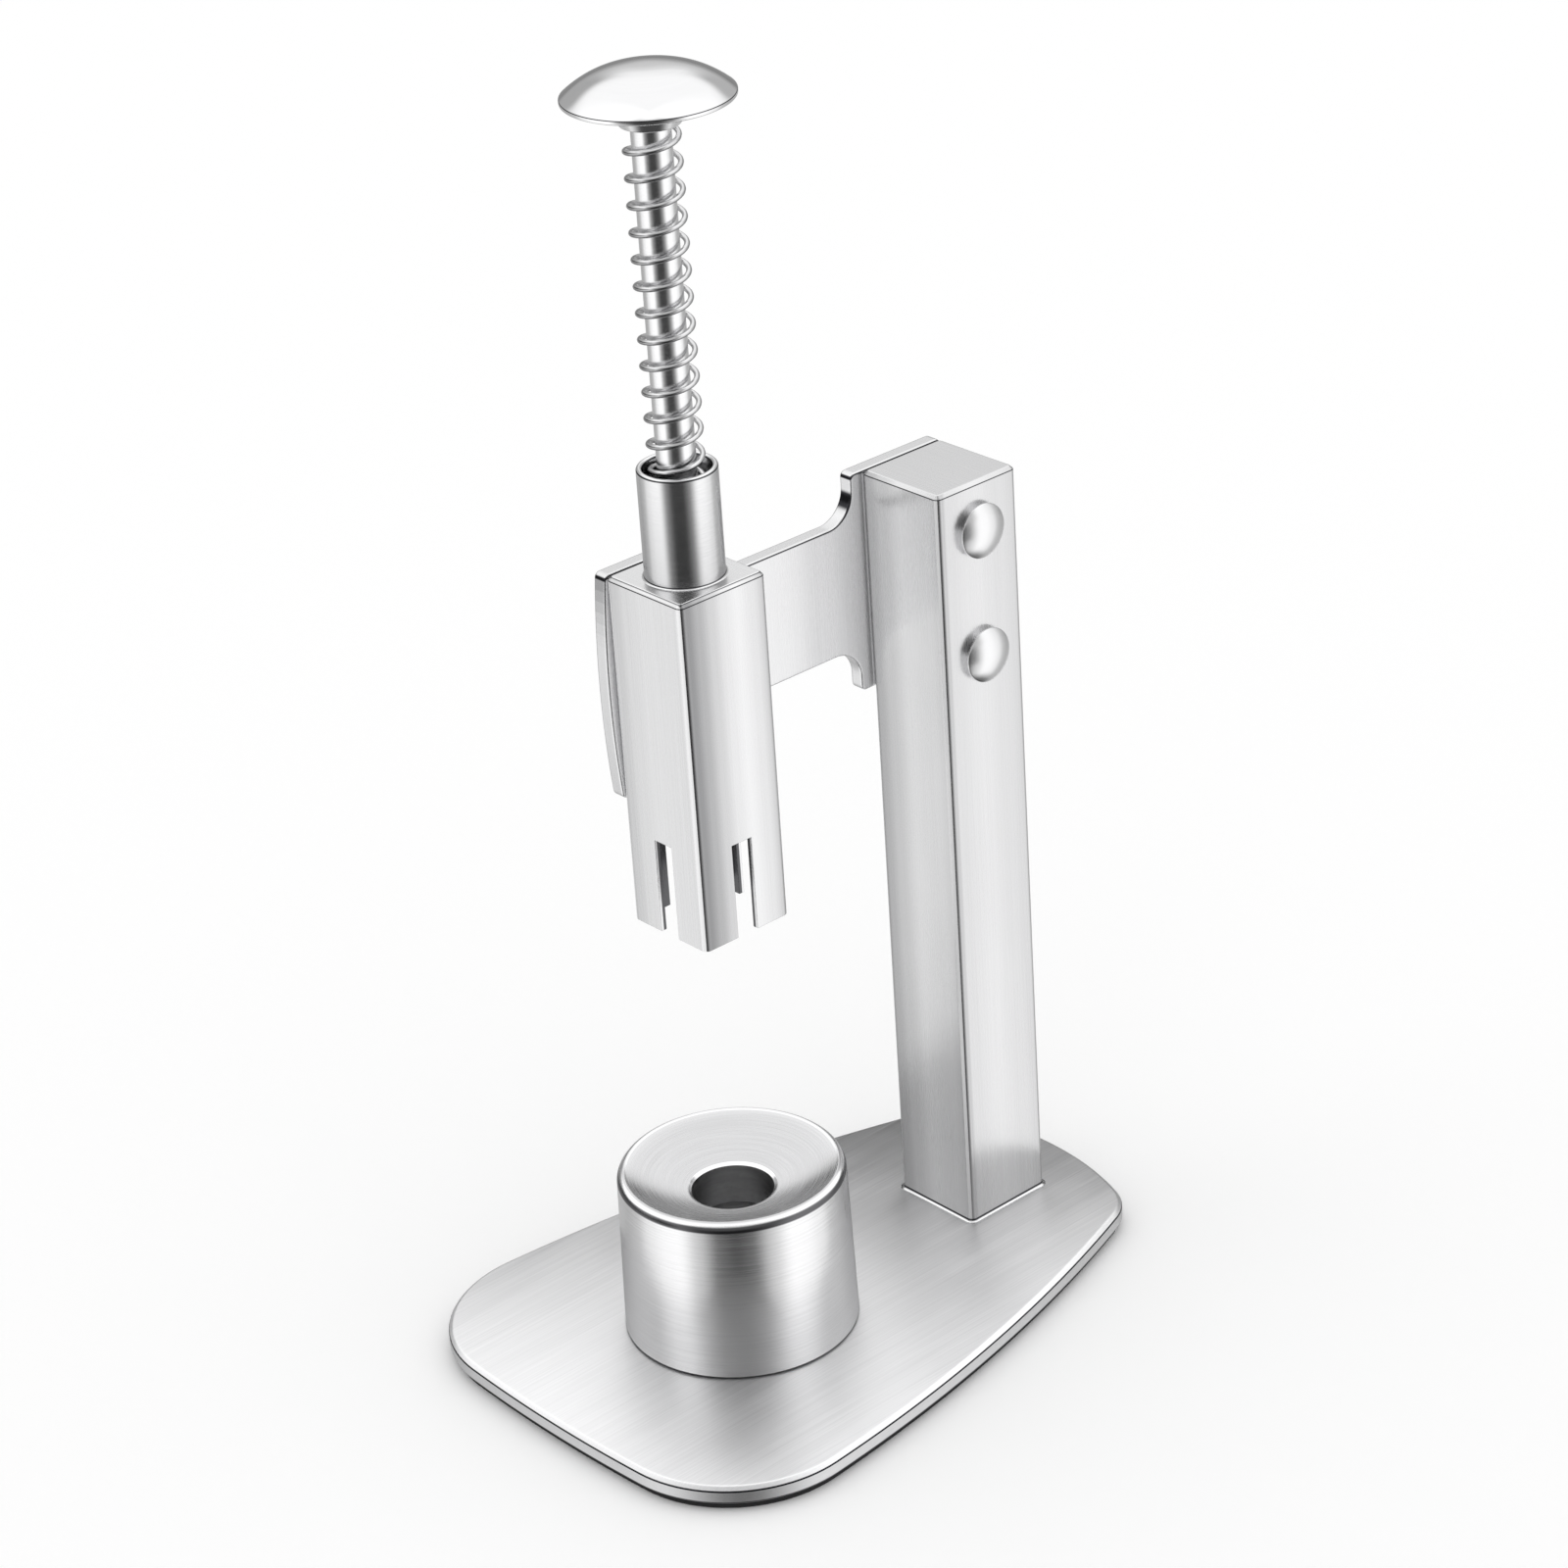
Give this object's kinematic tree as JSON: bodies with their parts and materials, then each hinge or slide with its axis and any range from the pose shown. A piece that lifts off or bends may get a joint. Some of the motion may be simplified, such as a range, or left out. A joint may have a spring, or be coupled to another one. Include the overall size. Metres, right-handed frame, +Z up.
{
  "type": "cherry pitter",
  "caption": "Free-standing push-plunger cherry pitter with a slotted square head, a side arm on a square post, a dished seat and a bowed base plate.",
  "frame": {"origin": "on the plunger's axis, at the underside of the sole that the pitter stands on", "axes": "+Z up along the plunger, +Y from the plunger towards the post, +X towards the side of the post with the dome heads; the front edge is on -Y"},
  "size_m": [0.096, 0.1314, 0.2519],
  "materials": {
    "brushed_plate": "stainless steel brushed along the plate",
    "brushed_tube": "stainless steel brushed along the tube",
    "turned_steel": "stainless steel with fine turning marks and a polished dish",
    "polished_steel": "polished stainless steel",
    "spring_wire": "bright drawn spring wire",
    "plain_steel": "plain turned steel",
    "bush_plastic": "natural acetal",
    "sole_rubber": "matt anti-slip sheet"
  },
  "bodies": {
    "stand": {"sole_pad": "sole_rubber", "base_plate": "brushed_plate", "post_tube": "brushed_tube", "post_end_plate": "brushed_tube", "post_foot_plug": "plain_steel", "post_foot_screws": "plain_steel", "seat_spigot": "plain_steel", "spigot_screw": "plain_steel", "arm_plate": "brushed_plate", "dome_sleeve_nuts": "polished_steel", "arm_screws": "polished_steel", "head_screws": "polished_steel", "head_threaded_strip": "plain_steel", "head_tube": "brushed_tube", "head_end_plate": "brushed_tube", "guide_tube": "polished_steel", "guide_bush": "bush_plastic", "return_spring": "spring_wire"},
    "plunger": {"plunger_rod": "polished_steel", "punch": "polished_steel", "stop_washer": "plain_steel", "retaining_clip": "plain_steel", "cap_collar": "polished_steel", "push_cap": "polished_steel"},
    "seat": {"fruit_seat": "turned_steel"}
  },
  "joints": [
    {"name": "press", "type": "slide", "parent": "stand", "child": "plunger", "axis": [0, 0, -1], "range_m": [0, 0.061], "stiffness_N_per_m": 790, "springref_m": -0.01, "deforming": ["return_spring"]},
    {"name": "seat_lift", "type": "slide", "parent": "stand", "child": "seat", "axis": [0, 0, 1], "range_m": [0, 0.04]}
  ]
}
